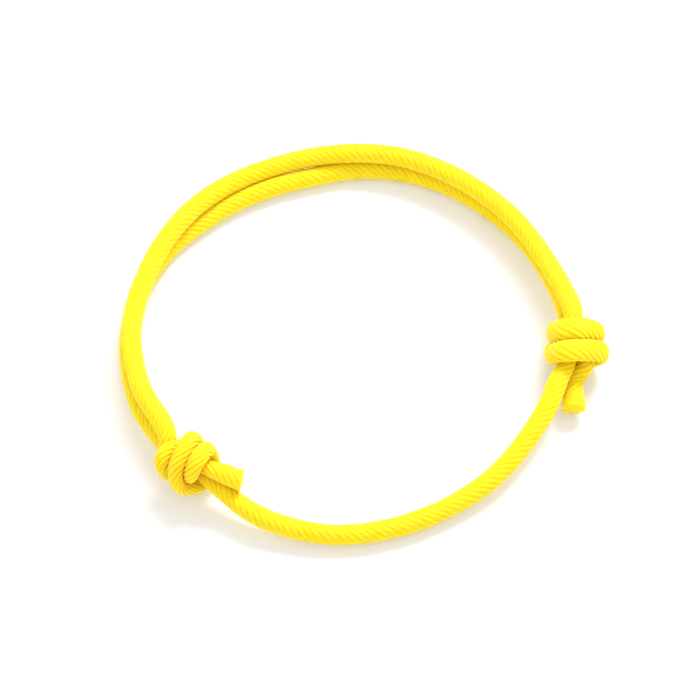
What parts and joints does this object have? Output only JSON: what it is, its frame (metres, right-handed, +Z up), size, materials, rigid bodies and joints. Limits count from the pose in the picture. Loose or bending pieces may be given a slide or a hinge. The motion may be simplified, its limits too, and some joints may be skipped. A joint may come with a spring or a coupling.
{
  "type": "rope bracelet",
  "caption": "Adjustable bracelet of one twisted cord, doubled along the back, with a sliding overhand knot at each end and short cut tails, lying flat.",
  "frame": {"origin": "on the surface the bracelet lies on, under the middle of its bounding box", "axes": "+Z up out of that surface, +X from the left knot's side to the right knot's side, +Y towards the doubled back of the loop"},
  "size_m": [0.063, 0.0583, 0.0081],
  "materials": {
    "yellow_cord": "soft twisted cord, slightly shiny"
  },
  "bodies": {
    "root": {"left_tail": "yellow_cord", "left_knot": "yellow_cord", "upper_strand": "yellow_cord", "front_strand": "yellow_cord", "lower_strand": "yellow_cord", "right_knot": "yellow_cord", "right_tail": "yellow_cord"}
  },
  "joints": []
}
